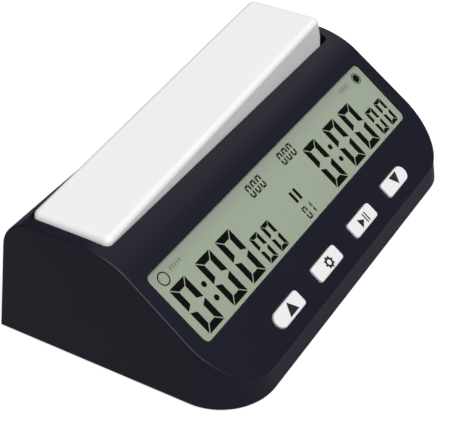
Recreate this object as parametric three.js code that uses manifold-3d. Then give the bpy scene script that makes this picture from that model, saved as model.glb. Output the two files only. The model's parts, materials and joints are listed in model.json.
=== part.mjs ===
// Digital chess clock: a wedge-shaped housing with a tilting rocker on top, a display window and
// four push buttons on the front slope, and the electronics, battery and rocker pivot inside.
// Millimetres. X runs along the clock, +Y is the back, +Z is up, and Z = 0 is the table.

import * as THREE from 'three';
import { mergeVertices } from 'three/addons/utils/BufferGeometryUtils.js';
import Module from 'manifold-3d';

const wasm = await Module();
wasm.setup();

// ---------------------------------------------------------------- driving dimensions

const GAP = 0.3; // clearance between neighbouring pieces
const FOOT_PROUD = 0.6; // how far the rubber feet lift the housing skirt off the table

const LENGTH = 160; // housing, along X at the skirt
const DEPTH = 92.4; // housing, along Y at the skirt
const HEIGHT = 44.6; // flat top above the skirt
const WALL = 2.2;
const FASCIA_HEIGHT = 7.9; // upright band along the front edge
const FASCIA_LEAN = 0.9; // the fascia leans back by this much over its height
const SLOPE = THREE.MathUtils.degToRad(37.3); // angle of the display deck
const BACK_DRAFT = 0.1175; // lean of the back wall, per unit of height
const END_DRAFT = 0.0575; // lean of the end walls, per unit of height
const CROWN_R = 26.7; // between deck and top
const BACK_R = 11.8; // between top and back wall
const FRONT_CORNER_R = 19.5; // seen from above
const BACK_CORNER_R = 2.5;

const FRONT_Y = -DEPTH / 2;
const BACK_Y = DEPTH / 2;
const DECK_Y = FRONT_Y + FASCIA_LEAN; // the deck frame starts at the top edge of the fascia

// Display, in the deck frame: x along the clock, y up the slope, z out of the deck.
const WINDOW = { width: 144.8, low: 20.2, high: 47.7, radius: 2.2 };
const WINDOW_WALL = 1.0; // wall left around the window
const LENS_THICKNESS = 0.8;
const LENS_SUNK = 0.15;
const GLASS = { width: 146.8, low: 19.0, high: 49.3, top: -1.3, thickness: 2.2 };
const BOARD_TOP = -6.8;
const BOARD_THICKNESS = 1.6;
const BOARD_BOTTOM = BOARD_TOP - BOARD_THICKNESS;

// Push buttons
const BUTTON = { length: 16, width: 6.1, row: 7.75, proud: 0.6, radius: 1.2, travel: 0.6, flange: 1.0 };
const BUTTON_X = { up: -39.5, settings: -12.5, play_pause: 14.5, down: 41.5 };

// Rocker, in its own frame: origin on the pivot axis, level with the table
const PIVOT = new THREE.Vector3(-0.3, 19.9, 12);
const TILT = THREE.MathUtils.degToRad(4.25); // either side of level
const ROCKER = { topLength: 137.8, topWidth: 29.2, top: 38.6, waist: 29.5, bottom: 22, wall: 1.8 };
const ROCKER_END_DRAFT = 0.23;
const ROCKER_SIDE_DRAFT = 0.005;
const ROCKER_CORNER_R = 2.2;
const SLOT = { halfLength: 72.9, halfWidth: 15, radius: 2.6 };
const SHAFT_R = 1.5;
const FOOT_REACH = 60.2; // rocker feet, from the pivot along the rocker
const SWITCH_REACH = 61; // their switches, from the pivot along X

// Bottom
const COVER_LOW = 0.8;
const COVER_TOP = 2.8;
const PAD_TOP = 4.4; // thick pads under the housing screws
const HOUSING_SCREWS = [[-66, -35], [66, -35], [-69, 38.8], [69, 38.8]];
const RUBBER_FEET = [[-48, -36], [48, -36], [-54, 36], [54, 36]];

// AA cell and its compartment
const CELL = { radius: 7.1, length: 48.8, nub: 1.5, z: 10.4 };
const BAY = { left: -66, right: -10, halfWidth: 9, wall: 1.4, height: 13.2 };
const DOOR = { left: -66.7, right: -9.3, halfWidth: 8.7 };

const POWER = { x: 40, y: 2, travel: 3 };

// ---------------------------------------------------------------- solids

function solid(geometry) {
  const plain = geometry.index ? geometry.toNonIndexed() : geometry.clone();
  plain.deleteAttribute('normal');
  plain.deleteAttribute('uv');
  const merged = mergeVertices(plain, 1e-4);
  return new wasm.Manifold(new wasm.Mesh({
    numProp: 3,
    vertProperties: new Float32Array(merged.attributes.position.array),
    triVerts: new Uint32Array(merged.index.array),
  }));
}

function geometryOf(body) {
  const mesh = body.getMesh();
  const geometry = new THREE.BufferGeometry();
  geometry.setAttribute('position', new THREE.BufferAttribute(new Float32Array(mesh.vertProperties), 3));
  geometry.setIndex(new THREE.BufferAttribute(new Uint32Array(mesh.triVerts), 1));
  return geometry;
}

const join = (first, ...rest) => rest.reduce((body, next) => body.add(next), first);
const cut = (first, ...rest) => rest.reduce((body, next) => body.subtract(next), first);

function block(x0, x1, y0, y1, z0, z1) {
  const geometry = new THREE.BoxGeometry(x1 - x0, y1 - y0, z1 - z0);
  return solid(geometry.translate((x0 + x1) / 2, (y0 + y1) / 2, (z0 + z1) / 2));
}

function rod(radius, z0, z1, x = 0, y = 0, sides = 16) {
  const geometry = new THREE.CylinderGeometry(radius, radius, z1 - z0, sides);
  return solid(geometry.rotateX(Math.PI / 2).translate(x, y, (z0 + z1) / 2));
}

function rodAlongY(radius, y0, y1, x = 0, z = 0, sides = 24) {
  const geometry = new THREE.CylinderGeometry(radius, radius, y1 - y0, sides);
  return solid(geometry.translate(x, (y0 + y1) / 2, z));
}

function rodAlongX(radius, x0, x1, y = 0, z = 0, sides = 24) {
  const geometry = new THREE.CylinderGeometry(radius, radius, x1 - x0, sides);
  return solid(geometry.rotateZ(Math.PI / 2).translate((x0 + x1) / 2, y, z));
}

function slab(shape, z0, z1, curveSegments = 6) {
  const geometry = new THREE.ExtrudeGeometry(shape, { depth: z1 - z0, bevelEnabled: false, curveSegments });
  return geometry.translate(0, 0, z0);
}

// A closed outline through convex corners given anticlockwise, each rounded by its own radius.
function roundedOutline(corners, radii) {
  const shape = new THREE.Shape();
  corners.forEach((corner, i) => {
    const before = corners[(i + corners.length - 1) % corners.length].clone().sub(corner).normalize();
    const after = corners[(i + 1) % corners.length].clone().sub(corner).normalize();
    const radius = radii[i];
    const half = Math.acos(before.dot(after)) / 2;
    const start = corner.clone().addScaledVector(before, radius / Math.tan(half));
    const bisector = before.clone().add(after).normalize();
    const centre = corner.clone().addScaledVector(bisector, radius / Math.sin(half));
    const from = start.clone().sub(centre).angle();
    const turn = Math.PI - 2 * half;
    if (i === 0) shape.moveTo(start.x, start.y);
    else shape.lineTo(start.x, start.y);
    shape.absarc(centre.x, centre.y, radius, from, from + turn, false);
  });
  shape.closePath();
  return shape;
}

function roundedRectangle(x0, x1, y0, y1, radius) {
  const corners = [[x0, y0], [x1, y0], [x1, y1], [x0, y1]].map((p) => new THREE.Vector2(...p));
  return roundedOutline(corners, [radius, radius, radius, radius]);
}

function roundedBlock(x0, x1, y0, y1, z0, z1, radius, curveSegments = 5) {
  return solid(slab(roundedRectangle(x0, x1, y0, y1, radius), z0, z1, curveSegments));
}

function swept(points, radius, steps, sides) {
  const section = new THREE.Shape();
  for (let i = 0; i < sides; i += 1) {
    const angle = (2 * Math.PI * i) / sides;
    const move = i === 0 ? 'moveTo' : 'lineTo';
    section[move](radius * Math.cos(angle), radius * Math.sin(angle));
  }
  section.closePath();
  const path = new THREE.CatmullRomCurve3(points.map((p) => new THREE.Vector3(...p)));
  return solid(new THREE.ExtrudeGeometry(section, { steps, extrudePath: path, bevelEnabled: false }));
}

// ---------------------------------------------------------------- housing form

// Where two straight lines meet, each given by a point and a direction.
function meet(pointA, alongA, pointB, alongB) {
  const between = pointB.clone().sub(pointA);
  const reach = between.cross(alongB) / alongA.cross(alongB);
  return pointA.clone().addScaledVector(alongA, reach);
}

// Side profile in (y, z), moved inwards by inset and running down to floor.
function sideProfile(inset, floor) {
  const inwards = (along) => new THREE.Vector2(-along.y, along.x).multiplyScalar(inset);
  const line = (y, z, dy, dz) => {
    const along = new THREE.Vector2(dy, dz).normalize();
    return [new THREE.Vector2(y, z).add(inwards(along)), along];
  };
  const base = [new THREE.Vector2(0, floor), new THREE.Vector2(1, 0)];
  const back = line(BACK_Y, 0, -BACK_DRAFT, 1);
  const top = line(0, HEIGHT, -1, 0);
  const deck = line(DECK_Y, FASCIA_HEIGHT, -Math.cos(SLOPE), -Math.sin(SLOPE));
  const fascia = line(DECK_Y, FASCIA_HEIGHT, -FASCIA_LEAN, -FASCIA_HEIGHT);
  const lines = [base, back, top, deck, fascia];
  const corners = lines.map((own, i) => meet(...own, ...lines[(i + 1) % lines.length]));
  const radii = [0.01, BACK_R - inset, CROWN_R - inset, Math.max(1.6 - inset, 0.3), 0.01];
  return roundedOutline(corners, radii);
}

function housingForm(inset, floor) {
  const halfLength = LENGTH / 2 - inset;
  const halfDepth = DEPTH / 2 - inset;
  const profile = slab(sideProfile(inset, floor), -LENGTH / 2 - 5, LENGTH / 2 + 5, 7);
  profile.applyMatrix4(new THREE.Matrix4().set(0, 0, 1, 0, 1, 0, 0, 0, 0, 1, 0, 0, 0, 0, 0, 1));
  const corners = [[-1, -1], [1, -1], [1, 1], [-1, 1]]
    .map(([sx, sy]) => new THREE.Vector2(sx * halfLength, sy * (halfDepth + 0.001)));
  const front = FRONT_CORNER_R - inset;
  const back = Math.max(BACK_CORNER_R - inset, 0.5);
  const plan = slab(roundedOutline(corners, [front, front, back, back]), floor - 1, HEIGHT + 5, 8);
  const place = plan.attributes.position;
  for (let i = 0; i < place.count; i += 1) {
    place.setX(i, place.getX(i) - Math.sign(place.getX(i)) * END_DRAFT * place.getZ(i));
  }
  return solid(profile).intersect(solid(plan));
}

// The deck frame, for pieces on or under the display slope
const deckMatrix = new THREE.Matrix4()
  .makeRotationX(SLOPE)
  .setPosition(0, DECK_Y, FASCIA_HEIGHT);

function onDeck(geometry) {
  return solid(geometry.applyMatrix4(deckMatrix));
}

// ---------------------------------------------------------------- materials

const finish = (color, roughness, metalness = 0) => () => (
  new THREE.MeshStandardMaterial({ color, roughness, metalness }));

const darkShell = finish(0x23232b, 0.45);
const whiteCap = finish(0xefefee, 0.4);
const clear = finish(0xdfe8dc, 0.08);
const displayGreen = finish(0x9fad96, 0.25);
const boardGreen = finish(0x1f5a34, 0.5);
const chipBlack = finish(0x17171a, 0.5);
const silver = finish(0xb9bcc0, 0.3, 0.9);
const steel = finish(0x8f9296, 0.35, 0.95);
const greyRubber = finish(0x3a3a3c, 0.9);
const cellSleeve = finish(0x3c5f8a, 0.35, 0.2);
const redWire = finish(0xb02222, 0.5);
const blackWire = finish(0x1b1b1d, 0.55);
const greyWire = finish(0x8a8d92, 0.55);

const clock = new THREE.Group();
clock.position.z = FOOT_PROUD;
const deck = new THREE.Group();
deck.applyMatrix4(deckMatrix);
clock.add(deck);

function piece(name, body, material, parent = clock) {
  const mesh = new THREE.Mesh(geometryOf(body), material());
  mesh.name = name;
  parent.add(mesh);
  return mesh;
}

// ---------------------------------------------------------------- buttons

const isOuterLeft = (x) => x < -30;
const isOuterRight = (x) => x > 30;

// The two outer buttons have a half-round outer end; every other corner is small.
function buttonOutline(x, margin) {
  const halfLength = BUTTON.length / 2 + margin;
  const halfWidth = BUTTON.width / 2 + margin;
  const small = BUTTON.radius + margin;
  const round = halfWidth - 0.01;
  const left = isOuterLeft(x) ? round : small;
  const right = isOuterRight(x) ? round : small;
  const corners = [[-1, -1], [1, -1], [1, 1], [-1, 1]]
    .map(([sx, sy]) => new THREE.Vector2(x + sx * halfLength, BUTTON.row + sy * halfWidth));
  return roundedOutline(corners, [left, right, right, left]);
}

// A cap is a cup open underneath, with a flange that stops it against the deck and a centre stem.
function buttonCap(x) {
  const flangeTop = -WALL - GAP;
  const flangeBottom = flangeTop - 0.8;
  const roof = BUTTON.proud - 1.4;
  const outer = solid(slab(buttonOutline(x, 0), flangeBottom, BUTTON.proud, 4));
  const flange = solid(slab(buttonOutline(x, BUTTON.flange), flangeBottom, flangeTop, 3));
  const hollow = solid(slab(buttonOutline(x, -1.2), flangeBottom - 1, roof, 2));
  const stem = rod(1.1, flangeBottom + 0.6, roof + 0.2, x, BUTTON.row, 8);
  return join(cut(join(outer, flange), hollow), stem);
}

// A tact switch standing on a board face at height base.
function tactSwitch(x, y, base, bodyHeight, tipHeight) {
  const half = 3;
  const body = block(x - half, x + half, y - half, y + half, base, base + bodyHeight);
  return join(body, rod(1.6, base + bodyHeight - 0.1, base + bodyHeight + tipHeight, x, y, 10));
}

function panScrew(x, y, head, headRadius, headDepth, shankRadius, reach, sides = 8) {
  const shank = rod(shankRadius, head + headDepth - 0.1, reach, x, y, sides);
  const slotA = block(x - headRadius * 0.62, x + headRadius * 0.62, y - 0.25, y + 0.25, head - 1, head + 0.6);
  const slotB = block(x - 0.25, x + 0.25, y - headRadius * 0.62, y + headRadius * 0.62, head - 1, head + 0.6);
  const cap = rod(headRadius, head, head + headDepth, x, y, 12);
  return cut(join(cap, shank), slotA, slotB);
}

// ---------------------------------------------------------------- upper housing

const BOARD_SCREWS = [-54, -27, 27, 54];
const BOARD_SCREW_ROW = 14.4;

function upperHousing() {
  const outer = housingForm(0, 0);
  const inner = housingForm(WALL, -1);
  const posts = HOUSING_SCREWS.map(([x, y]) => rod(3.2, PAD_TOP + GAP, HEIGHT, x, y).intersect(housingForm(1, 0)));
  const boardPosts = BOARD_SCREWS.map((x) => (
    onDeck(slab(new THREE.Shape().absarc(x, BOARD_SCREW_ROW, 2.5, 0, 2 * Math.PI), BOARD_TOP + GAP, -1.2, 10))));
  const shell = join(cut(outer, inner), ...posts, ...boardPosts);
  const slot = roundedBlock(
    PIVOT.x - SLOT.halfLength, PIVOT.x + SLOT.halfLength,
    PIVOT.y - SLOT.halfWidth, PIVOT.y + SLOT.halfWidth, HEIGHT - 12, HEIGHT + 5, SLOT.radius,
  );
  const half = WINDOW.width / 2;
  const view = onDeck(slab(roundedRectangle(-half, half, WINDOW.low, WINDOW.high, WINDOW.radius), -9, 5, 5));
  const glassHalf = GLASS.width / 2 + GAP;
  const pocket = onDeck(slab(
    roundedRectangle(-glassHalf, glassHalf, GLASS.low - GAP, GLASS.high + GAP, 0.5), -9, -WINDOW_WALL, 2,
  ));
  const buttonHoles = Object.values(BUTTON_X)
    .map((x) => onDeck(slab(buttonOutline(x, GAP), -9, 5, 4)));
  const postHoles = HOUSING_SCREWS.map(([x, y]) => rod(1.6, 0, 13, x, y, 12));
  const boardHoles = BOARD_SCREWS.map((x) => (
    onDeck(slab(new THREE.Shape().absarc(x, BOARD_SCREW_ROW, 1.3, 0, 2 * Math.PI), -9, -2.6, 6))));
  return cut(shell, slot, view, pocket, ...buttonHoles, ...postHoles, ...boardHoles);
}

piece('upper_housing', upperHousing(), darkShell);

// ---------------------------------------------------------------- display stack and main board

const lensHalf = WINDOW.width / 2 - GAP;
piece('display_lens', solid(slab(
  roundedRectangle(-lensHalf, lensHalf, WINDOW.low + GAP, WINDOW.high - GAP, WINDOW.radius - GAP),
  -LENS_SUNK - LENS_THICKNESS, -LENS_SUNK, 5,
)), clear, deck);

const glassHalf = GLASS.width / 2;
const glassBottom = GLASS.top - GLASS.thickness;
piece('lcd_glass', block(-glassHalf, glassHalf, GLASS.low, GLASS.high, glassBottom, GLASS.top), displayGreen, deck);

function displayFrame() {
  const top = -WALL - GAP;
  const bottom = BOARD_TOP + GAP;
  const rim = 1.5;
  const ring = block(-glassHalf - GAP - rim, glassHalf + GAP + rim, GLASS.low - GAP - rim, GLASS.high + GAP + rim, bottom, top);
  const seat = block(-glassHalf - GAP, glassHalf + GAP, GLASS.low - GAP, GLASS.high + GAP, glassBottom - GAP, top + 1);
  const well = block(-glassHalf + 2.4, glassHalf - 2.4, GLASS.low - GAP, GLASS.high + GAP, bottom - 1, top);
  return cut(ring, seat, well);
}
piece('display_frame', displayFrame(), chipBlack, deck);

const zebraHalf = glassHalf - 3.4;
const zebra = (low) => block(-zebraHalf, zebraHalf, low, low + 2, BOARD_TOP + GAP, glassBottom - GAP);
piece('contact_strip_lower', zebra(GLASS.low), greyRubber, deck);
piece('contact_strip_upper', zebra(GLASS.high - 2), greyRubber, deck);

function mainBoard() {
  const lower = block(-60, 60, 5, 20, BOARD_BOTTOM, BOARD_TOP);
  const upper = block(-73.5, 73.5, 17.5, 50.5, BOARD_BOTTOM, BOARD_TOP);
  const holes = BOARD_SCREWS.map((x) => rod(1.3, BOARD_BOTTOM - 1, BOARD_TOP + 1, x, BOARD_SCREW_ROW, 12));
  return cut(join(lower, upper), ...holes);
}
piece('main_board', mainBoard(), boardGreen, deck);

const under = BOARD_BOTTOM - GAP; // pieces on the rear face of the board start here
const dome = new THREE.LatheGeometry([
  new THREE.Vector2(0, 0), new THREE.Vector2(6, 0), new THREE.Vector2(5.2, 1.1),
  new THREE.Vector2(3, 1.8), new THREE.Vector2(0, 2),
], 20);
piece('controller_chip', solid(dome.rotateX(-Math.PI / 2).translate(12, 33, under)), chipBlack, deck);
piece('quartz_crystal', roundedBlock(-2.5, 2.5, 27, 30, under - 8, under, 1.4, 4), silver, deck);
piece('capacitor_1', rod(2.5, under - 7, under, 26, 26, 16), blackWire, deck);
piece('capacitor_2', rod(2.5, under - 7, under, 33, 26, 16), blackWire, deck);
piece('buzzer', cut(rod(6, under - 5.5, under, 52, 30, 24), rod(1, under - 6, under - 4.5, 52, 30, 10)), chipBlack, deck);

for (const x of BOARD_SCREWS) {
  const side = x < 0 ? 'left' : 'right';
  const place = Math.abs(x) > 40 ? 'outer' : 'inner';
  piece(`board_screw_${place}_${side}`,
    panScrew(x, BOARD_SCREW_ROW, BOARD_BOTTOM - GAP - 1.2, 2.2, 1.2, 1, -3.2), steel, deck);
}

for (const [name, x] of Object.entries(BUTTON_X)) {
  piece(`button_${name}`, buttonCap(x), whiteCap, deck);
  piece(`tact_switch_${name}`, tactSwitch(x, BUTTON.row, BOARD_TOP + GAP, 2.1, 0.8), chipBlack, deck);
}

// ---------------------------------------------------------------- rocker and pivot

// A block that widens downwards, with rounded upright corners.
function taperedBlock(top, bottom, halfLength, halfWidth, endDraft, sideDraft, radius) {
  const outline = roundedRectangle(-halfLength, halfLength, -halfWidth, halfWidth, radius);
  const geometry = slab(outline, bottom, top, 5);
  const place = geometry.attributes.position;
  for (let i = 0; i < place.count; i += 1) {
    const drop = top - place.getZ(i);
    place.setX(i, place.getX(i) + Math.sign(place.getX(i)) * endDraft * drop);
    place.setY(i, place.getY(i) + Math.sign(place.getY(i)) * sideDraft * drop);
  }
  return solid(geometry);
}

function rockerForm(inset) {
  const top = ROCKER.top - inset;
  const halfLength = ROCKER.topLength / 2 - inset;
  const halfWidth = ROCKER.topWidth / 2 - inset;
  const radius = ROCKER_CORNER_R - inset * 0.8;
  const head = taperedBlock(top, ROCKER.waist, halfLength, halfWidth, ROCKER_END_DRAFT, ROCKER_SIDE_DRAFT, radius);
  const waistLength = halfLength + ROCKER_END_DRAFT * (top - ROCKER.waist);
  const waistWidth = halfWidth + ROCKER_SIDE_DRAFT * (top - ROCKER.waist);
  const floor = ROCKER.bottom - (inset > 0 ? 1 : 0);
  const skirt = roundedBlock(-waistLength, waistLength, -waistWidth, waistWidth, floor, ROCKER.waist, radius);
  return join(head, skirt);
}

function rocker() {
  const shell = cut(rockerForm(0), rockerForm(ROCKER.wall));
  const roof = ROCKER.top - 1;
  const hub = join(block(-4.5, 4.5, -5.5, 5.5, 0, roof), rodAlongY(4.5, -5.5, 5.5, 0, 0, 24));
  const feet = [-1, 1].map((side) => rod(2.5, 16.2, roof, side * FOOT_REACH, 0, 16));
  const ribs = [-36, 36].map((x) => block(x - 0.7, x + 0.7, -13.5, 13.5, ROCKER.waist, roof));
  const spine = block(-68.2, 68.2, -0.7, 0.7, ROCKER.waist + 3, roof);
  return cut(join(shell, hub, ...feet, ...ribs, spine), rodAlongY(SHAFT_R + 0.2, -9, 9));
}

const rockerGroup = new THREE.Group();
rockerGroup.position.copy(PIVOT);
rockerGroup.rotation.y = -TILT; // its left end is down
clock.add(rockerGroup);
piece('rocker', rocker(), whiteCap, rockerGroup);

const LUG = { inner: 5.9, thickness: 3 };
const shaftEnd = LUG.inner + LUG.thickness + 0.4;
piece('rocker_shaft', rodAlongY(SHAFT_R, PIVOT.y - shaftEnd, PIVOT.y + shaftEnd, PIVOT.x, PIVOT.z), steel);

// Sprung steel strip under the hub, which holds the rocker at either end of its tilt
function toggleSpring() {
  const thickness = 0.4;
  const top = PIVOT.z - 4.5 - GAP - 0.1;
  const low = COVER_TOP + GAP;
  const shape = new THREE.Shape();
  const upper = [[-15, low + thickness], [-11, low + thickness], [-4, top], [4, top], [11, low + thickness], [15, low + thickness]];
  const lower = [[15, low], [10.8, low], [3.9, top - thickness], [-3.9, top - thickness], [-10.8, low], [-15, low]];
  [...upper, ...lower].forEach(([x, z], i) => (i === 0 ? shape.moveTo(x, z) : shape.lineTo(x, z)));
  shape.closePath();
  const strip = slab(shape, -2.5, 2.5, 1).rotateX(Math.PI / 2);
  return solid(strip.translate(PIVOT.x, PIVOT.y, 0));
}
piece('toggle_spring', toggleSpring(), steel);

// ---------------------------------------------------------------- rocker switches

const SWITCH_POST_TOP = 17.4;
const SWITCH_BOARD_TOP = SWITCH_POST_TOP + GAP + BOARD_THICKNESS;

const switchSides = { left: -1, right: 1 };
for (const [name, side] of Object.entries(switchSides)) {
  const x = PIVOT.x + side * SWITCH_REACH;
  const screwX = x - side * 7;
  const board = block(x - 9, x + 9, PIVOT.y - 5.5, PIVOT.y + 5.5, SWITCH_POST_TOP + GAP, SWITCH_BOARD_TOP);
  piece(`switch_board_${name}`, cut(board, rod(1.3, 0, 30, screwX, PIVOT.y, 12)), boardGreen);
  piece(`rocker_switch_${name}`, tactSwitch(x, PIVOT.y, SWITCH_BOARD_TOP + GAP, 3, 0.8), chipBlack);
  const head = SWITCH_BOARD_TOP + GAP;
  const screw = join(
    rod(2.2, head, head + 1.2, screwX, PIVOT.y, 12),
    rod(1, SWITCH_POST_TOP - 5, head + 0.1, screwX, PIVOT.y, 8),
  );
  piece(`switch_board_screw_${name}`, screw, steel);
}

// ---------------------------------------------------------------- bottom cover and what it holds

function bottomCover() {
  const plate = housingForm(WALL + GAP, -5).intersect(block(-90, 90, -60, 60, COVER_LOW, COVER_TOP));
  const pads = HOUSING_SCREWS.map(([x, y]) => rod(4.4, COVER_LOW + 0.1, PAD_TOP, x, y));
  const footPads = RUBBER_FEET.map(([x, y]) => rod(6.2, COVER_LOW + 0.1, COVER_TOP + 0.8, x, y));
  const bay = cut(
    block(BAY.left - BAY.wall, BAY.right + BAY.wall, -BAY.halfWidth - BAY.wall, BAY.halfWidth + BAY.wall, COVER_TOP - 0.1, BAY.height),
    block(BAY.left, BAY.right, -BAY.halfWidth, BAY.halfWidth, 0, BAY.height + 1),
  );
  const lugs = [-1, 1].map((side) => {
    const near = PIVOT.y + side * LUG.inner;
    const far = PIVOT.y + side * (LUG.inner + LUG.thickness);
    const [y0, y1] = [Math.min(near, far), Math.max(near, far)];
    return join(block(PIVOT.x - 4.5, PIVOT.x + 4.5, y0, y1, COVER_TOP - 0.1, PIVOT.z), rodAlongY(4.5, y0, y1, PIVOT.x, PIVOT.z));
  });
  const switchPosts = Object.values(switchSides).flatMap((side) => {
    const x = PIVOT.x + side * SWITCH_REACH;
    return [
      rod(3, COVER_TOP - 0.1, SWITCH_POST_TOP, x - side * 7, PIVOT.y),
      block(x + side * 6 - 1, x + side * 6 + 1, PIVOT.y - 4, PIVOT.y + 4, COVER_TOP - 0.1, SWITCH_POST_TOP),
    ];
  });
  const body = join(plate, ...pads, ...footPads, bay, ...lugs, ...switchPosts);

  const doorway = block(DOOR.left - GAP, DOOR.right + GAP, -DOOR.halfWidth - GAP, DOOR.halfWidth + GAP, 0, COVER_TOP + 0.05);
  const tabNotches = [-5, 5].map((y) => block(BAY.right - 1, BAY.right + BAY.wall + 1, y - 2.8, y + 2.8, COVER_TOP, 6.6));
  const latchRecess = block(BAY.left - 1, BAY.left + 1, -4.6, 4.6, 0, 6.4);
  const fingerDip = block(DOOR.left - 7, DOOR.left, -7, 7, 0, COVER_LOW + 0.9);
  const counterbores = HOUSING_SCREWS.map(([x, y]) => rod(3.1, 0, 2.9, x, y));
  const shankHoles = HOUSING_SCREWS.map(([x, y]) => rod(1.6, 0, PAD_TOP + 1, x, y, 12));
  const footWells = RUBBER_FEET.map(([x, y]) => rod(5 + GAP, 0, COVER_LOW + 1.1, x, y, 24));
  const shaftHole = rodAlongY(SHAFT_R + 0.2, PIVOT.y - shaftEnd - 1, PIVOT.y + shaftEnd + 1, PIVOT.x, PIVOT.z);
  const postHoles = Object.values(switchSides).map((side) => (
    rod(1.3, SWITCH_POST_TOP - 6, 30, PIVOT.x + side * (SWITCH_REACH - 7), PIVOT.y, 12)));
  const powerSlot = block(POWER.x - 2.6, POWER.x + POWER.travel + 2.6, POWER.y - 2.3, POWER.y + 2.3, 0, 5);
  return cut(body, doorway, ...tabNotches, latchRecess, fingerDip, ...counterbores, ...shankHoles,
    ...footWells, shaftHole, ...postHoles, powerSlot);
}
piece('bottom_cover', bottomCover(), darkShell);

const corner = (x, y) => `${y < 0 ? 'front' : 'back'}_${x < 0 ? 'left' : 'right'}`;
for (const [x, y] of HOUSING_SCREWS) {
  piece(`housing_screw_${corner(x, y)}`, panScrew(x, y, 1.2, 2.7, 1.4, 1.2, 12), steel);
}
for (const [x, y] of RUBBER_FEET) {
  piece(`rubber_foot_${corner(x, y)}`, rod(5, -FOOT_PROUD, COVER_LOW + 0.8, x, y, 24), greyRubber);
}

// The door turns about its right-hand lower edge; two tabs hook over the cover there.
function batteryDoor() {
  const plate = block(DOOR.left, DOOR.right, -DOOR.halfWidth, DOOR.halfWidth, COVER_LOW, COVER_TOP - 0.2);
  const tabs = [-5, 5].flatMap((y) => [
    block(DOOR.right - 2, DOOR.right - 0.3, y - 2.2, y + 2.2, COVER_TOP - 0.4, 3.9),
    block(DOOR.right - 0.4, DOOR.right + 1.9, y - 2.2, y + 2.2, COVER_TOP + GAP, 3.9),
  ]);
  const latch = block(BAY.left - 0.4, BAY.left + 0.7, -4, 4, COVER_TOP - 0.4, 5.6);
  const grip = [-2, 0, 2].map((step) => block(DOOR.left + 5 + step, DOOR.left + 5.9 + step, -5, 5, 0, COVER_LOW + 0.5));
  return cut(join(plate, ...tabs, latch), ...grip);
}
piece('battery_door', batteryDoor(), darkShell);

const cellRight = BAY.right - 1.1 - CELL.nub;
const cellLeft = cellRight - CELL.length;
piece('battery_cell', join(
  rodAlongX(CELL.radius, cellLeft, cellRight, 0, CELL.z, 28),
  rodAlongX(2.7, cellRight - 0.1, cellRight + CELL.nub, 0, CELL.z, 16),
), cellSleeve);

// Coil contact: a conical coil wound onto its own flat base
function batterySpring() {
  const turns = 3;
  const stepsPerTurn = 14;
  const start = BAY.left + 0.9;
  const end = cellLeft - GAP - 0.5;
  const points = [];
  for (let i = 0; i <= turns * stepsPerTurn; i += 1) {
    const part = i / (turns * stepsPerTurn);
    const angle = part * turns * 2 * Math.PI;
    const radius = 4.2 - 1.6 * part;
    points.push([start + (end - start) * part, radius * Math.cos(angle), CELL.z + radius * Math.sin(angle)]);
  }
  const coil = swept(points, 0.45, turns * stepsPerTurn, 6);
  return join(coil, block(BAY.left + GAP, BAY.left + 0.7, -5.5, 5.5, 7, 15.6));
}
piece('battery_spring', batterySpring(), silver);
piece('battery_contact', block(BAY.right - 0.7, BAY.right - GAP, -5.5, 5.5, 7, 15.6), silver);

function powerSlider() {
  const knob = block(POWER.x - 2.2, POWER.x + 2.2, POWER.y - 1.9, POWER.y + 1.9, COVER_LOW + 0.2, COVER_TOP);
  return join(knob, block(POWER.x - 1.2, POWER.x + 1.2, POWER.y - 1, POWER.y + 1, COVER_TOP - 0.1, 5));
}
piece('power_slider', powerSlider(), whiteCap);
const powerMiddle = POWER.x + POWER.travel / 2;
piece('power_switch', cut(
  block(powerMiddle - 6, powerMiddle + 6, POWER.y - 3.2, POWER.y + 3.2, COVER_TOP + GAP, 8),
  block(powerMiddle - 3.2, powerMiddle + 3.2, POWER.y - 1.4, POWER.y + 1.4, 0, 5.5),
), silver);

// ---------------------------------------------------------------- leads inside the housing

// A point under the main board, at x along the clock and s up the slope
function underBoard(x, s, drop = 0.6) {
  const point = new THREE.Vector3(x, s, BOARD_BOTTOM - drop - GAP).applyMatrix4(deckMatrix);
  return point.toArray();
}
const LEAD_R = 0.55;
piece('lead_red', swept([
  [BAY.right - 0.5, 2, 16.5], [BAY.right - 0.6, 0, 19], [-12, -4, 21.5], underBoard(-13, 33, 1.6), underBoard(-14, 30),
], LEAD_R, 12, 6), redWire);
piece('lead_black', swept([
  [BAY.left + 0.5, 2, 16.5], [BAY.left + 0.8, 0, 19], [-60, -4, 20.5], underBoard(-54, 33, 1.6), underBoard(-50, 30),
], LEAD_R, 12, 6), blackWire);
piece('lead_switch_left', swept([
  [-55, PIVOT.y - 6.7, 18.5], [-53, 9, 19.2], [-48, 2, 21.5], underBoard(-40, 36, 1.8), underBoard(-36, 33),
], LEAD_R, 12, 6), greyWire);
piece('lead_switch_right', swept([
  [51.5, PIVOT.y - 6.7, 18.5], [49, 9, 19.2], [40, 2, 21.5], underBoard(36, 37, 1.8), underBoard(32, 34),
], LEAD_R, 12, 6), greyWire);
piece('lead_power', swept([
  [powerMiddle, POWER.y + 1, 8.9], [powerMiddle, POWER.y - 1, 13], [38, -5, 17], underBoard(32, 30, 1.8), underBoard(26, 31),
], LEAD_R, 12, 6), greyWire);

export default clock;
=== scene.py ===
"""A digital chess clock: dark wedge housing, white rocker, display and four buttons."""

import json
import math

import bmesh
import bpy
from mathutils import Matrix, Vector


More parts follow.
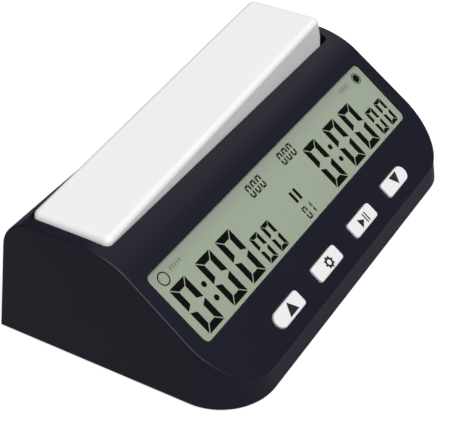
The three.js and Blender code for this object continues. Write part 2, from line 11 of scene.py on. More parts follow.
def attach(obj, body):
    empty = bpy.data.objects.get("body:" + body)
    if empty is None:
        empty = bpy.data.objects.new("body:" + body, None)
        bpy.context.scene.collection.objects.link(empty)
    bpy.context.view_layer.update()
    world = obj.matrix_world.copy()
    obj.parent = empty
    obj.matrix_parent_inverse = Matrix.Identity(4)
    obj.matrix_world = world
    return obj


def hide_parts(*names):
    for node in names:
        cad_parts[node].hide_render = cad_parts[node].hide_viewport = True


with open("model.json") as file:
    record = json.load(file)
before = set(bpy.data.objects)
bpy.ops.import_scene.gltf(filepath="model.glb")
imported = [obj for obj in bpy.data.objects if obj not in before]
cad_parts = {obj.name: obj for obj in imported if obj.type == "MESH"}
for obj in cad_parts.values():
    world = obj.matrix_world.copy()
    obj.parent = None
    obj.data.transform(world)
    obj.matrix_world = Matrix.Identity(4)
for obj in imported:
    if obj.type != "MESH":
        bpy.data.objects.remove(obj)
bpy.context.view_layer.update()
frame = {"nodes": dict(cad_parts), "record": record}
nodes = frame["nodes"]

# ---------------------------------------------------------------- sizes, in millimetres

MM = 0.001
GAP = 0.3  # clearance between neighbouring pieces
FOOT_PROUD = 0.6  # height of the housing skirt over the table

LENGTH = 160.0
DEPTH = 92.4
HEIGHT = 44.6
WALL = 2.2
FASCIA_HEIGHT = 7.9
FASCIA_LEAN = 0.9
FASCIA_BREAK = 6.2  # the fascia leans up to here and then stands upright
SLOPE = math.radians(37.3)
BACK_DRAFT = 0.1175
END_DRAFT = 0.0575
CROWN_R = 26.7
BACK_R = 11.8
FRONT_CORNER_R = 19.5
RIM_R = 0.6  # soft edge around the deck, the top and the back corners
DECK_Y = -DEPTH / 2 + FASCIA_LEAN

WINDOW = {"half": 72.4, "low": 20.2, "high": 47.5, "radius": 2.2}
GLASS = {"half": 73.4, "low": 19.0, "high": 49.3, "top": -1.3}
POCKET_TOP = -1.0
LENS = {"sunk": 0.15, "thickness": 0.8}

BUTTON = {"half_length": 8.0, "half_width": 3.05, "row": 7.75, "proud": 0.6, "radius": 1.2, "flange": 1.0}
BUTTON_X = {"up": -39.5, "settings": -12.5, "play_pause": 14.5, "down": 41.5}
BUTTON_FLANGE = {"top": -WALL - GAP, "thickness": 0.8}

PIVOT = Vector((-0.3, 19.9, 12.0 + FOOT_PROUD))
TILT = math.radians(4.25)
ROCKER = {"half_length": 68.9, "half_width": 14.6, "top": 38.6, "waist": 29.5, "bottom": 22.0, "wall": 1.8}
ROCKER_END_DRAFT = 0.23
ROCKER_SIDE_DRAFT = 0.005
ROCKER_CORNER_R = 2.6
ROCKER_RIM_R = 2.1
ROCKER_HUB = {"half_length": 4.5, "half_width": 5.5, "bore": 1.7}
ROCKER_FOOT = {"radius": 2.5, "from_pivot": 60.2, "bottom": 16.2}
ROCKER_RIB = {"from_pivot": 36, "half_thickness": 0.7, "half_width": 13.2}
SLOT = {"half_length": 72.9, "half_width": 15.0, "radius": 2.6}

DECK_NORMAL = Vector((0, -math.sin(SLOPE), math.cos(SLOPE)))
DECK_POINT = Vector((0, DECK_Y, FASCIA_HEIGHT))
ON_CLOCK = Matrix.Translation((0, 0, FOOT_PROUD))
TO_DECK = Matrix.Translation(DECK_POINT) @ Matrix.Rotation(SLOPE, 4, "X")
ON_DECK = ON_CLOCK @ TO_DECK
ON_PIVOT = Matrix.Translation(PIVOT) @ Matrix.Rotation(-TILT, 4, "Y")
FLAT = 0.03  # thickness of printed and displayed marks
TINY = 0.01  # slack when a point is tested against a plane

CUT_LOW = -9  # openings are cut from this far below the deck
CUT_HIGH = 5  # to this far above it
ROOF_MIDDLE_Y = 15  # the crown bends in front of this line, the back behind it


# ---------------------------------------------------------------- modelling helpers


def place_in_scene(name, data):
    """An object at the origin that holds this mesh, light or camera."""
    made = bpy.data.objects.new(name, data)
    bpy.context.scene.collection.objects.link(made)
    return made


def soften(bm, edges, width, steps):
    """Rounds edges with an arc that starts width away from them."""
    bmesh.ops.bevel(
        bm, geom=list(edges), offset=width, offset_type="OFFSET", segments=steps,
        profile=0.5, affect="EDGES", clamp_overlap=False, material=-1,
    )


def sharp_edges(bm, degrees, keep):
    """Edges that turn by more than this and whose two ends both pass the test."""
    limit = math.radians(degrees)
    return [
        e for e in bm.edges
        if len(e.link_faces) == 2 and e.calc_face_angle(0) > limit and all(keep(v.co) for v in e.verts)
    ]


def upright(edge, keep=lambda corner: True):
    """True for a standing edge, drafted or not, whose ends pass the test."""
    a, b = edge.verts
    return abs(a.co.z - b.co.z) > 0.5 and (a.co - b.co).xy.length < 6 and keep(a.co) and keep(b.co)


def cut(bm, point, normal, **options):
    """Cuts the whole shape along a plane."""
    whole = [*bm.verts, *bm.edges, *bm.faces]
    bmesh.ops.bisect_plane(bm, geom=whole, plane_co=point, plane_no=normal, **options)


def tower(bm, levels):
    """A closed block through flat rectangles (x0, x1, y0, y1, z), lowest first."""
    bmesh.ops.create_grid(bm, x_segments=1, y_segments=1, size=1)
    ring = list(bm.verts)
    for i, (x0, x1, y0, y1, z) in enumerate(levels):
        if i:
            top = [f for f in bm.faces if all(v in ring for v in f.verts)]
            grown = bmesh.ops.extrude_face_region(bm, geom=top)
            ring = [g for g in grown["geom"] if isinstance(g, bmesh.types.BMVert)]
        middle = sum((v.co for v in ring), Vector()) / 4
        for v in ring:
            v.co = Vector((x0 if v.co.x < middle.x else x1, y0 if v.co.y < middle.y else y1, z))
    bmesh.ops.recalc_face_normals(bm, faces=bm.faces)
    return bm


def block(x0, x1, half_width, z0, z1):
    """A plain block, even about the X axis."""
    return tower(bmesh.new(), [(x0, x1, -half_width, half_width, z) for z in (z0, z1)])


def rounded_block(x0, x1, y0, y1, z0, z1, radius, steps=8, round_left=None, round_right=None):
    """A block with rounded standing corners; either end may have a radius of its own."""
    bm = tower(bmesh.new(), [(x0, x1, y0, y1, z0), (x0, x1, y0, y1, z1)])
    middle = (x0 + x1) / 2
    for near, own in ((lambda c: c.x < middle, round_left), (lambda c: c.x > middle, round_right)):
        soften(bm, [e for e in bm.edges if upright(e, near)], own or radius, steps)
    return bm


def finish_mesh(name, bm, place):
    """Places the shape, turns it to metres and makes it an object at the origin."""
    bmesh.ops.remove_doubles(bm, verts=bm.verts, dist=0.0005)
    bmesh.ops.transform(bm, matrix=place, verts=bm.verts)
    bmesh.ops.scale(bm, vec=(MM, MM, MM), verts=bm.verts)
    mesh = bpy.data.meshes.new(name)
    bm.to_mesh(mesh)
    bm.free()
    mesh.shade_smooth()
    mesh.set_sharp_from_angle(angle=math.radians(35))
    return place_in_scene(name, mesh)


def loose_object(bm):
    """A plain object that holds a working shape."""
    mesh = bpy.data.meshes.new("working")
    bm.to_mesh(mesh)
    bm.free()
    return place_in_scene("working", mesh)


def carve(bm, cutters, how="DIFFERENCE"):
    """Joins or cuts solids and returns the result as a new bmesh."""
    body = loose_object(bm)
    tools = [loose_object(cutter) for cutter in cutters]
    for tool in tools:
        step = body.modifiers.new("carve", "BOOLEAN")
        step.operation = how
        step.solver = "EXACT"
        step.object = tool
    graph = bpy.context.evaluated_depsgraph_get()
    carved = bpy.data.meshes.new_from_object(body.evaluated_get(graph))
    result = bmesh.new()
    result.from_mesh(carved)
    for used in [body, *tools]:
        bpy.data.objects.remove(used)
    bpy.data.meshes.remove(carved)
    bmesh.ops.remove_doubles(result, verts=result.verts, dist=0.002)
    bmesh.ops.dissolve_degenerate(result, edges=result.edges, dist=0.002)
    return result


def even_shading(piece):
    """Keeps broad flat faces flat beside their soft edges."""
    weighted = piece.modifiers.new("even_shading", "WEIGHTED_NORMAL")
    weighted.keep_sharp = True
    weighted.weight = 80
    return piece


def thicken(bm, faces, height):
    """Raises flat faces into plates of this height."""
    grown = bmesh.ops.extrude_face_region(bm, geom=faces)
    raised = [g for g in grown["geom"] if isinstance(g, bmesh.types.BMVert)]
    bmesh.ops.translate(bm, vec=(0, 0, height), verts=raised)


def plate(bm, outline, low, high):
    """A flat mark with this outline."""
    thicken(bm, [bm.faces.new([bm.verts.new((x, y, low)) for x, y in outline])], high - low)


def bar(bm, left, right, bottom, top, low, high):
    """A flat rectangular mark."""
    plate(bm, [(left, bottom), (right, bottom), (right, top), (left, top)], low, high)


def cylinder(bm, radius, length, place):
    """A solid cylinder along Z, centred, then placed."""
    bmesh.ops.create_cone(
        bm, cap_ends=True, segments=32, radius1=radius, radius2=radius, depth=length, matrix=place,
    )


def disc(bm, x, y, radius, low, high):
    """A round flat mark."""
    cylinder(bm, radius, high - low, Matrix.Translation((x, y, (low + high) / 2)))


def ring(bm, x, y, inner, outer, low, high, steps=40, tooth=None):
    """A flat ring; tooth(i) may move each outer point in or out."""
    place = Matrix.Translation((x, y, low))
    inside = bmesh.ops.create_circle(bm, segments=steps, radius=inner, matrix=place)["verts"]
    outside = bmesh.ops.create_circle(bm, segments=steps, radius=outer, matrix=place)["verts"]
    if tooth:
        centre = Vector((x, y, low))
        for i, v in enumerate(outside):
            v.co = centre + (v.co - centre) * tooth(i)
    loops = list({e for v in inside + outside for e in v.link_edges})
    thicken(bm, bmesh.ops.bridge_loops(bm, edges=loops)["faces"], high - low)


def rod(radius, length, place):
    """A cylinder in a shape of its own."""
    bm = bmesh.new()
    cylinder(bm, radius, length, place)
    return bm


# ---------------------------------------------------------------- housing


def crown_height(y):
    """Height of the outer surface over the skirt, across the slot."""
    centre_y = DECK_Y + (HEIGHT - FASCIA_HEIGHT) / math.tan(SLOPE) + CROWN_R * math.tan(SLOPE / 2)
    if y > centre_y:
        return HEIGHT
    return HEIGHT - CROWN_R + math.sqrt(CROWN_R**2 - (y - centre_y) ** 2)


def housing_form(inset, floor, corner_steps, crown_steps, rims):
    """The wedge: drafted block with round front corners, cut along the deck, crowned and softened."""

    def level(z):
        half = LENGTH / 2 - inset - END_DRAFT * z
        return (-half, half, DECK_Y + inset, DEPTH / 2 - inset - BACK_DRAFT * z, z)

    roof = HEIGHT - inset
    bm = tower(bmesh.new(), [level(floor), level(roof)])
    front = [e for e in bm.edges if upright(e, lambda c: c.y < 0)]
    soften(bm, front, FRONT_CORNER_R - inset, corner_steps)
    cut(bm, (0, 0, FASCIA_BREAK), (0, 0, 1))
    for v in bm.verts:
        if v.co.y < 0 and v.co.z < FASCIA_BREAK - TINY:
            v.co.y -= FASCIA_LEAN * (1 - max(v.co.z, 0) / FASCIA_BREAK)
    cut(bm, DECK_POINT - DECK_NORMAL * inset, DECK_NORMAL, clear_outer=True)
    bmesh.ops.holes_fill(bm, edges=[e for e in bm.edges if e.is_boundary])
    bmesh.ops.recalc_face_normals(bm, faces=bm.faces)
    back_turn = math.pi / 2 - math.atan(BACK_DRAFT)
    roof_edges = sharp_edges(bm, 20, lambda c: c.z > roof - TINY)
    lengthwise = [e for e in roof_edges if e.calc_length() > LENGTH / 2]
    crown = [e for e in lengthwise if e.verts[0].co.y < ROOF_MIDDLE_Y]
    back = [e for e in lengthwise if e.verts[0].co.y > ROOF_MIDDLE_Y]
    soften(bm, crown, (CROWN_R - inset) * math.tan(SLOPE / 2), crown_steps)
    soften(bm, back, (BACK_R - inset) * math.tan(back_turn / 2), crown_steps)
    if rims:
        skirt_top, back_corner = 3, 40  # no rims on the skirt, except at the back
        soften(bm, sharp_edges(bm, 20, lambda c: c.z > skirt_top or c.y > back_corner), RIM_R, 5)
    return bm


def on_deck(bm):
    """Turns a shape that was drawn flat onto the deck."""
    bmesh.ops.transform(bm, matrix=TO_DECK, verts=bm.verts)
    return bm


def button_block(x, margin, low, high, steps=10):
    """The outline of one button, wider by margin; the outermost ends are half-round."""
    half_length = BUTTON["half_length"] + margin
    half_width = BUTTON["half_width"] + margin
    small = BUTTON["radius"] + margin
    full = half_width - 0.02
    leftmost, rightmost = min(BUTTON_X.values()), max(BUTTON_X.values())
    return rounded_block(
        x - half_length, x + half_length, BUTTON["row"] - half_width, BUTTON["row"] + half_width,
        low, high, small, steps=steps,
        round_left=full if x == leftmost else small, round_right=full if x == rightmost else small,
    )


def upper_housing():
    """The shell with its window, button openings and rocker slot."""
    outer = housing_form(0, 0, 30, 20, True)
    inner = housing_form(WALL, -3, 14, 10, False)
    window = on_deck(rounded_block(
        -WINDOW["half"], WINDOW["half"], WINDOW["low"], WINDOW["high"], CUT_LOW, CUT_HIGH, WINDOW["radius"],
    ))
    edge = GLASS["half"] + GAP
    pocket = on_deck(rounded_block(
        -edge, edge, GLASS["low"] - GAP, GLASS["high"] + GAP, CUT_LOW, POCKET_TOP, 0.5, steps=3,
    ))
    slot = rounded_block(
        PIVOT.x - SLOT["half_length"], PIVOT.x + SLOT["half_length"],
        PIVOT.y - SLOT["half_width"], PIVOT.y + SLOT["half_width"], HEIGHT - 12, HEIGHT + 5, SLOT["radius"],
    )
    openings = [on_deck(button_block(x, GAP, CUT_LOW, CUT_HIGH)) for x in BUTTON_X.values()]
    bm = carve(outer, [inner, slot, pocket, window, *openings])

    def at_opening(c):
        return abs((c - DECK_POINT).dot(DECK_NORMAL)) < TINY

    def at_slot(c):
        within_length = abs(c.x - PIVOT.x) < SLOT["half_length"] + 0.05
        within_width = abs(c.y - PIVOT.y) < SLOT["half_width"] + 0.05
        return within_length and within_width and c.z > crown_height(c.y) - 0.1

    soften(bm, sharp_edges(bm, 55, at_opening), 0.25, 2)
    soften(bm, sharp_edges(bm, 55, at_slot), 0.4, 3)
    return even_shading(finish_mesh("housing_shell", bm, ON_CLOCK))


# ---------------------------------------------------------------- rocker


def rocker_lever():
    """The long lever: a drafted cap with soft edges, hollowed, with what of its fittings lies in it."""
    top, waist, bottom = ROCKER["top"], ROCKER["waist"], ROCKER["bottom"]
    drop = top - waist

    def level(z, inset):
        spread = min(top - z, drop)
        half = ROCKER["half_length"] - inset + ROCKER_END_DRAFT * spread
        side = ROCKER["half_width"] - inset + ROCKER_SIDE_DRAFT * spread
        return (-half, half, -side, side, z)

    outer = tower(bmesh.new(), [level(bottom, 0), level(waist, 0), level(top, 0)])
    soften(outer, [e for e in outer.edges if upright(e)], ROCKER_CORNER_R, 8)
    soften(outer, sharp_edges(outer, 50, lambda c: c.z > top - TINY), ROCKER_RIM_R, 6)
    wall = ROCKER["wall"]
    hollow = tower(bmesh.new(), [level(bottom - 2, wall), level(waist, wall), level(top - wall, wall)])
    soften(hollow, [e for e in hollow.edges if upright(e)], ROCKER_CORNER_R - wall * 0.8, 4)
    roof = top - 1
    along_y = Matrix.Rotation(math.pi / 2, 4, "X")
    hub_half, hub_side = ROCKER_HUB["half_length"], ROCKER_HUB["half_width"]
    hub = block(-hub_half, hub_half, hub_side, 0, roof)
    boss = rod(hub_half, 2 * hub_side, along_y)
    bore = rod(ROCKER_HUB["bore"], 20, along_y)
    foot_bottom = ROCKER_FOOT["bottom"]
    inner_parts = [hub, boss]
    for side in (-1, 1):
        foot_place = Matrix.Translation((side * ROCKER_FOOT["from_pivot"], 0, (roof + foot_bottom) / 2))
        inner_parts.append(rod(ROCKER_FOOT["radius"], roof - foot_bottom, foot_place))
    for side in (-1, 1):
        x, half = side * ROCKER_RIB["from_pivot"], ROCKER_RIB["half_thickness"]
        inner_parts.append(block(x - half, x + half, ROCKER_RIB["half_width"], waist, roof))
    shell = carve(outer, [hollow])
    bm = carve(carve(shell, inner_parts, "UNION"), [bore])
    return even_shading(finish_mesh("rocker_lever", bm, ON_PIVOT))


# ---------------------------------------------------------------- buttons and their marks


def button_cap(name, x):
    """A soft-edged cap that stands on a hidden flange and is hollow below."""
    flange_bottom = BUTTON_FLANGE["top"] - BUTTON_FLANGE["thickness"]
    proud = BUTTON["proud"]
    cap = button_block(x, 0, flange_bottom + 0.2, proud, 14)
    soften(cap, sharp_edges(cap, 50, lambda c: c.z > proud - TINY), 0.6, 4)
    flange = button_block(x, BUTTON["flange"], flange_bottom, BUTTON_FLANGE["top"])
    hollow = button_block(x, -1.2, flange_bottom - 1, proud - 1.4)
    bm = carve(carve(cap, [flange], "UNION"), [hollow])
    return even_shading(finish_mesh(f"cap_{name}", bm, ON_DECK))


MARK_LOW = BUTTON["proud"] + 0.004
MARK_HIGH = MARK_LOW + FLAT
SIGN_LOW = 5.75  # how far up the deck the signs start


def mark_up(bm, x):
    plate(bm, [(x - 2.8, SIGN_LOW), (x + 2.8, SIGN_LOW), (x, 10.1)], MARK_LOW, MARK_HIGH)


def mark_down(bm, x):
    plate(bm, [(x - 2.7, 10.15), (x, 5.85), (x + 2.7, 10.15)], MARK_LOW, MARK_HIGH)


def mark_settings(bm, x):
    """A cog of eight teeth; half of each tooth's points lie at its root."""
    teeth, points = 8, 6
    ring(
        bm, x, 7.55, 0.98, 2.27, MARK_LOW, MARK_HIGH, steps=teeth * points,
        tooth=lambda i: 1.0 if i % points < points / 2 else 0.78,
    )


def mark_play_pause(bm, x):
    top = 9.45
    plate(bm, [(x - 2.9, SIGN_LOW), (x + 0.2, (SIGN_LOW + top) / 2), (x - 2.9, top)], MARK_LOW, MARK_HIGH)
    for left in (0.85, 2.2):
        bar(bm, x + left, x + left + 0.6, SIGN_LOW, top, MARK_LOW, MARK_HIGH)


# each button's sign and how far to the right of the cap's middle it sits
MARKS = {
    "up": (mark_up, 1.0),
    "settings": (mark_settings, 0.65),
    "play_pause": (mark_play_pause, 0.25),
    "down": (mark_down, 0.4),
}


# ---------------------------------------------------------------- display

SEGMENT_LOW = GLASS["top"] + 0.005
SEGMENT_HIGH = SEGMENT_LOW + FLAT
ZERO = "abcdef"
ONE = "bc"

# figures: how far up the deck they start, their size, their upright and level strokes, and their slits
LARGE = {"low": 21.45, "width": 8.6, "height": 18.2, "upright": 2.55, "level": 2.5, "slit": 0.26}
SMALL = {"low": 21.45, "width": 5.0, "height": 10.9, "upright": 1.5, "level": 1.45, "slit": 0.16}
COUNTER = {"low": 40.1, "width": 2.5, "height": 5.0, "upright": 0.74, "level": 0.72, "slit": 0.13}
MODE = {"low": 21.4, "width": 2.4, "height": 4.8, "upright": 0.66, "level": 0.66, "slit": 0.12}

CLOCK_STARTS = (-68.3, 18.2)
COUNTER_LEFTS = (-15.1, -11.8, -8.5, 6.7, 10.0, 13.3)
RING_PLACE = (-66.4, 43.35)
DOT_PLACE = (67.1, 43.4)
TICKS = {"starts": (-61.9, 54.8), "count": 5, "step": 1.3, "width": 0.5, "low": 43.4, "high": 44.9}


def digit(bm, left, lit, low, width, height, upright, level, slit):
    """One figure of a seven-part display with mitred ends, drawn with its six outer parts only; lit names
    the parts that show.
    """
    right, high, middle = left + width, low + height, low + height / 2
    u, s = upright, slit
    top_in, low_in = high - level, low + level
    over_middle, under_middle = middle + level / 2 + s, middle - level / 2 - s
    parts = {
        "a": [(left + s, high), (left + u + s, top_in), (right - u - s, top_in), (right - s, high)],
        "b": [(right, high - s), (right - u, top_in - s), (right - u, over_middle), (right, middle + s)],
        "c": [(right, low + s), (right, middle - s), (right - u, under_middle), (right - u, low_in + s)],
        "d": [(left + s, low), (right - s, low), (right - u - s, low_in), (left + u + s, low_in)],
        "e": [(left, low + s), (left + u, low_in + s), (left + u, under_middle), (left, middle - s)],
        "f": [(left, high - s), (left, middle + s), (left + u, over_middle), (left + u, top_in - s)],
    }
    for part in lit:
        plate(bm, parts[part], SEGMENT_LOW, SEGMENT_HIGH)


def clock_face(bm, start):
    """One player's time: three large figures with a colon, then two small ones."""
    for offset in (0, 14.8, 26.9):
        digit(bm, start + offset, ZERO, **LARGE)
    for offset in (38.6, 45.9):
        digit(bm, start + offset, ZERO, **SMALL)
    for row in (27.5, 33.2):
        disc(bm, start + 12.0, row, 1.05, SEGMENT_LOW, SEGMENT_HIGH)


def display_segments():
    """Everything dark on the display."""
    bm = bmesh.new()
    for start in CLOCK_STARTS:
        clock_face(bm, start)
    for left in COUNTER_LEFTS:
        digit(bm, left, ZERO, **COUNTER)
    digit(bm, -2.4, ZERO, **MODE)
    digit(bm, 0.6, ONE, **MODE)
    for left in (-1.7, 0.9):
        bar(bm, left, left + 1.35, 28.4, 32.9, SEGMENT_LOW, SEGMENT_HIGH)
    ring(bm, *RING_PLACE, 1.95, 2.38, SEGMENT_LOW, SEGMENT_HIGH)
    disc(bm, *DOT_PLACE, 1.65, SEGMENT_LOW, SEGMENT_HIGH)
    ring(bm, *DOT_PLACE, 2.0, 2.3, SEGMENT_LOW, SEGMENT_HIGH)
    return finish_mesh("display_segments", bm, ON_DECK)


def faint_marks():
    """The pale parts of the display: two short rows of ticks."""
    bm = bmesh.new()
    for start in TICKS["starts"]:
        for i in range(TICKS["count"]):
            left = start + i * TICKS["step"]
            bar(bm, left, left + TICKS["width"], TICKS["low"], TICKS["high"], SEGMENT_LOW, SEGMENT_HIGH)
    return finish_mesh("display_faint_marks", bm, ON_DECK)


def display_window():
    """The clear lens, with its edge just broken."""
    half = WINDOW["half"] - GAP
    high = -LENS["sunk"]
    bm = rounded_block(
        -half, half, WINDOW["low"] + GAP, WINDOW["high"] - GAP, high - LENS["thickness"], high,
        WINDOW["radius"] - GAP,
    )
    soften(bm, sharp_edges(bm, 60, lambda c: c.z > high - TINY), 0.15, 2)
    return even_shading(finish_mesh("display_window", bm, ON_DECK))


# ---------------------------------------------------------------- shader helpers


class Wire:
    """A socket that takes part in arithmetic; each operation adds a Math node."""

    def __init__(self, shading, socket):
        self.shading = shading
        self.socket = socket

    def _with(self, operation, other):
        made = self.shading.node("ShaderNodeMath", {0: self, 1: other}, operation=operation)
        return self.shading.wire(made)

    def __add__(self, other):
        return self._with("ADD", other)

    __radd__ = __add__

    def __mul__(self, other):
        return self._with("MULTIPLY", other)

    __rmul__ = __mul__

    def __gt__(self, other):
        return self._with("GREATER_THAN", other)


class Shading:
    """A node tree being built."""

    def __init__(self, owner):
        owner.use_nodes = True
        self.tree = owner.node_tree
        self.tree.nodes.clear()

    def node(self, kind, inputs=None, **settings):
        """Adds a node, sets its options, then gives its sockets values or links."""
        made = self.tree.nodes.new(kind)
        for key, value in settings.items():
            setattr(made, key, value)
        for key, value in (inputs or {}).items():
            if isinstance(value, Wire):
                self.tree.links.new(value.socket, made.inputs[key])
            else:
                made.inputs[key].default_value = value
        return made

    def wire(self, node, output=0):
        return Wire(self, node.outputs[output])

    def blend(self, factor, first, second):
        """A colour between two, by a factor."""
        made = self.node("ShaderNodeMix", {"Factor": factor, 6: first, 7: second}, data_type="RGBA")
        return self.wire(made, 2)

    def seen(self):
        """One for what the camera sees itself, nothing for light that bounces."""
        return self.wire(self.node("ShaderNodeLightPath"), "Is Camera Ray")


class Finish(Shading):
    """One material being built, with a Principled shader."""

    def __init__(self, name, **constants):
        self.material = bpy.data.materials.new(name)
        super().__init__(self.material)
        values = {key.replace("_", " "): value for key, value in constants.items()}
        self.shader = self.node("ShaderNodeBsdfPrincipled", values)
        self.node("ShaderNodeOutputMaterial", {"Surface": self.wire(self.shader)})
        self.place = self.wire(self.node("ShaderNodeTexCoord"), "Object")

    def noise(self, scale, detail=2.0, roughness=0.5, place=None):
        return self.wire(self.node("ShaderNodeTexNoise", {
            "Vector": place or self.place, "Scale": scale, "Detail": detail, "Roughness": roughness,
        }))

    def stretched(self, scale):
        """The piece's own coordinates, stretched, for grain with a direction."""
        return self.wire(self.node("ShaderNodeMapping", {"Vector": self.place, "Scale": scale}))

    def axis(self, letter):
        """Place along one axis, in metres."""
        return self.wire(self.node("ShaderNodeSeparateXYZ", {0: self.place}), letter)

    def feed(self, socket, value):
        self.tree.links.new(value.socket, self.shader.inputs[socket])

    def bump(self, height, distance):
        """Relief in metres."""
        self.feed("Normal", self.wire(self.node("ShaderNodeBump", {"Height": height, "Distance": distance})))


def rgba(*colour):
    return (*colour, 1.0)


def moulded(name, colour, tint, roughness, grain, relief, **constants):
    """Moulded plastic: two close shades, uneven gloss and a fine eroded grain."""
    finish = Finish(name, **constants)
    cloud = finish.noise(28, 3.0)
    fine = finish.noise(grain, 2.0, 0.6)
    fine_gloss, cloud_gloss = 0.08, 0.05
    evenly = roughness - (fine_gloss + cloud_gloss) / 2
    finish.feed("Base Color", finish.blend(cloud, rgba(*colour), rgba(*tint)))
    finish.feed("Roughness", fine * fine_gloss + cloud * cloud_gloss + evenly)
    finish.bump(fine, relief)
    return finish.material


def metal(name, colour, roughness, streak):
    """Drawn or plated metal with streaks along one direction."""
    finish = Finish(name, Metallic=1.0)
    grain = finish.noise(900, 3.0, 0.6, finish.stretched(streak))
    grain_gloss = 0.22
    darker = rgba(*(c * 0.72 for c in colour))
    finish.feed("Base Color", finish.blend(grain, darker, rgba(*colour)))
    finish.feed("Roughness", grain * grain_gloss + (roughness - grain_gloss / 2))
    finish.bump(grain, 0.00001)
    return finish.material


def display_green():
    """Grey-green reflector: a little darker along its upper edge, where a shadow is painted, with a very
    fine sparkle.
    """
    finish = Finish("display_green", Specular_IOR_Level=0.2)
    # painted shadow: the green darkens towards the upper edge, where the window's upper wall casts its
    # shadow on the reflector
    painted_shadow_starts, painted_shadow_full = 0.0315, 0.0375
    painted_shadow = finish.wire(finish.node(
        "ShaderNodeMapRange", {"Value": finish.axis("Z"), "From Min": painted_shadow_starts, "From Max": painted_shadow_full},
        interpolation_type="SMOOTHSTEP",
    ))
    sparkle = finish.noise(5200, 1.0)
    base = finish.blend(sparkle, rgba(0.366, 0.428, 0.318), rgba(0.388, 0.450, 0.338))
    # the darker green is the painted shadow
    finish.feed("Base Color", finish.blend(painted_shadow, base, rgba(0.325, 0.357, 0.305)))
    finish.feed("Roughness", sparkle * 0.1 + 0.4)
    finish.bump(sparkle, 0.000004)
    return finish.material


def clear_window():
    """Clear acrylic with the faintest haze."""
    finish = Finish("clear_window", Base_Color=rgba(0.02, 0.02, 0.02), Alpha=0.05)
    haze = finish.noise(60, 3.0)
    finish.feed("Roughness", haze * 0.05 + 0.05)
    return finish.material


def cell_sleeve():
    """A plain printed sleeve with a pale band towards its right end."""
    finish = Finish("cell_sleeve", Roughness=0.3)
    band_starts = -0.0225
    band = finish.axis("X") > band_starts
    worn = finish.noise(300)
    sleeve = finish.blend(worn, rgba(0.03, 0.10, 0.24), rgba(0.045, 0.13, 0.29))
    finish.feed("Base Color", finish.blend(band, sleeve, rgba(0.55, 0.56, 0.58)))
    return finish.material


def circuit_board():
    """Green solder mask, darker and paler at random."""
    finish = Finish("circuit_board", Roughness=0.35)
    weave = finish.noise(420)
    finish.feed("Base Color", finish.blend(weave, rgba(0.012, 0.085, 0.03), rgba(0.03, 0.16, 0.06)))
    finish.bump(weave, 0.00003)
    return finish.material


shell_dark = moulded(
    "shell_dark", (0.0052, 0.0051, 0.0132), (0.0064, 0.0063, 0.0156), 0.44, 5200, 0.000012,
    Specular_IOR_Level=0.36,
)
white_satin = moulded("white_satin", (0.875, 0.86, 0.85), (0.895, 0.88, 0.87), 0.42, 4200, 0.00001)
# painted shading: the caps are the rocker's white plastic made darker, so they come out dimmer than the
# rocker top under the key light
cap_white_painted_shading = moulded("cap_white_painted_shading", (0.80, 0.79, 0.785), (0.82, 0.81, 0.805), 0.42, 4200, 0.00001)
ink = moulded("button_ink", (0.013, 0.010, 0.010), (0.018, 0.014, 0.013), 0.5, 3000, 0.000004)
segment_dark = moulded(
    "segment_dark", (0.002, 0.002, 0.002), (0.003, 0.003, 0.003), 0.6, 3000, 0.000002,
    Specular_IOR_Level=0.06,
)
segment_faint = moulded("segment_faint", (0.16, 0.19, 0.14), (0.18, 0.21, 0.16), 0.5, 3000, 0.000002)
board_black = moulded("board_black", (0.012, 0.012, 0.014), (0.018, 0.018, 0.02), 0.5, 2600, 0.00002)
soft_rubber = moulded("soft_rubber", (0.035, 0.035, 0.038), (0.055, 0.055, 0.058), 0.85, 1500, 0.00005)
wire_red = moulded("wire_red", (0.42, 0.015, 0.015), (0.5, 0.03, 0.03), 0.45, 900, 0.00001)
wire_black = moulded("wire_black", (0.010, 0.010, 0.011), (0.016, 0.016, 0.017), 0.45, 900, 0.00001)
wire_grey = moulded("wire_grey", (0.22, 0.23, 0.25), (0.28, 0.29, 0.31), 0.45, 900, 0.00001)
zinc_steel = metal("zinc_steel", (0.50, 0.51, 0.53), 0.34, (1, 1, 0.1))
tinned = metal("tinned", (0.74, 0.75, 0.77), 0.28, (0.2, 1, 1))
display_glass = display_green()
window_clear = clear_window()

CARRIED = {
    "dark_shell": shell_dark,
    "white_plastic": white_satin,
    "clear_window": window_clear,
    "lcd": display_glass,
    "black_plastic": board_black,
    "board": circuit_board(),
    "tinned_metal": tinned,
    "steel": zinc_steel,
    "rubber": soft_rubber,
    "cell_sleeve": cell_sleeve(),
    "red_insulation": wire_red,
    "black_insulation": wire_black,
    "grey_insulation": wire_grey,
}
for row in frame["record"]["subparts"]:
    surface = nodes[row["node"]].data
    surface.materials.clear()
    surface.materials.append(CARRIED[row["material_slot"]])


# ---------------------------------------------------------------- pieces


def add(piece, material, body, slot, *replaced):
    """Gives a piece its material and its body, and hides the CAD nodes it stands for; slot is not used."""
    piece.data.materials.clear()
    piece.data.materials.append(material)
    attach(piece, body)
    if replaced:
        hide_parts(*replaced)


add(upper_housing(), shell_dark, "base", "dark_shell", "upper_housing")
add(rocker_lever(), white_satin, "rocker", "white_plastic", "rocker")
add(display_window(), window_clear, "base", "clear_window", "display_lens")
add(display_segments(), segment_dark, "base", "lcd")
add(faint_marks(), segment_faint, "base", "lcd")
for name, x in BUTTON_X.items():
    add(button_cap(name, x), cap_white_painted_shading, f"button_{name}", "white_plastic", f"button_{name}")
    draw, shift = MARKS[name]
    symbol = bmesh.new()
    draw(symbol, x + shift)
    add(finish_mesh(f"mark_{name}", symbol, ON_DECK), ink, f"button_{name}", "black_plastic")


# ---------------------------------------------------------------- floor, light and camera


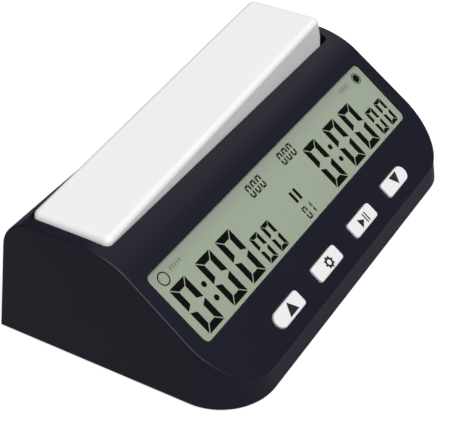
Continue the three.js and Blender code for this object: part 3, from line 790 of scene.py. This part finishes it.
def floor_material():
    """Pale to the camera, darker and slightly blue to the light that bounces off it."""
    finish = Finish("pale_floor", Roughness=0.9, Specular_IOR_Level=0.1, Emission_Strength=1.0)
    seen = finish.seen()
    finish.feed("Base Color", finish.blend(seen, rgba(0.29, 0.29, 0.325), rgba(0.5, 0.5, 0.5)))
    finish.feed("Emission Color", finish.blend(seen, rgba(0, 0, 0), rgba(0.62, 0.62, 0.62)))
    return finish.material


def studio():
    """White to the camera, and a dim soft light on the clock."""
    world = bpy.data.worlds.new("studio")
    shading = Shading(world)
    backdrop = shading.blend(shading.seen(), rgba(0.06, 0.06, 0.075), rgba(1, 1, 1))
    glow = shading.node("ShaderNodeBackground", {"Color": backdrop})
    shading.node("ShaderNodeOutputWorld", {"Surface": shading.wire(glow)})
    return world


floor_bm = bmesh.new()
bmesh.ops.create_grid(floor_bm, x_segments=2, y_segments=2, size=4000)
floor = finish_mesh("floor", floor_bm, Matrix.Translation((0, 0, -0.05)))
floor.data.materials.append(floor_material())
bpy.context.scene.world = studio()


def shine(light, direction, distance):
    """Puts a light along a direction from the clock and turns it to face the clock."""
    towards = Vector(direction).normalized()
    made = place_in_scene(light.name, light)
    made.location = Vector((0, 0, 0.02)) + towards * distance
    made.rotation_euler = towards.to_track_quat("Z", "Y").to_euler()


key = bpy.data.lights.new("key", "SUN")
key.energy = 3.3
key.angle = math.radians(50)
shine(key, (-0.28, -0.42, 0.87), 2.0)

panel = bpy.data.lights.new("right_panel", "AREA")
panel.shape = "SQUARE"
panel.size = 0.8
panel.energy = 1.6
panel.color = (0.97, 0.98, 1.0)
shine(panel, (0.80, 0.10, 0.66), 1.4)

CAMERA_PLACE = (-0.3145, -0.1788, 0.2872)
CAMERA_LOOKS = Vector((0.68369, 0.39482, -0.61375))

camera_data = bpy.data.cameras.new("camera")
camera_data.lens = 99.44
camera_data.sensor_width = 36
camera_data.shift_x = -0.0053
camera_data.shift_y = 0.0022
camera = place_in_scene("camera", camera_data)
camera.location = CAMERA_PLACE
camera.rotation_euler = CAMERA_LOOKS.to_track_quat("-Z", "Y").to_euler()
bpy.context.scene.camera = camera
bpy.context.scene.view_settings.view_transform = "Standard"
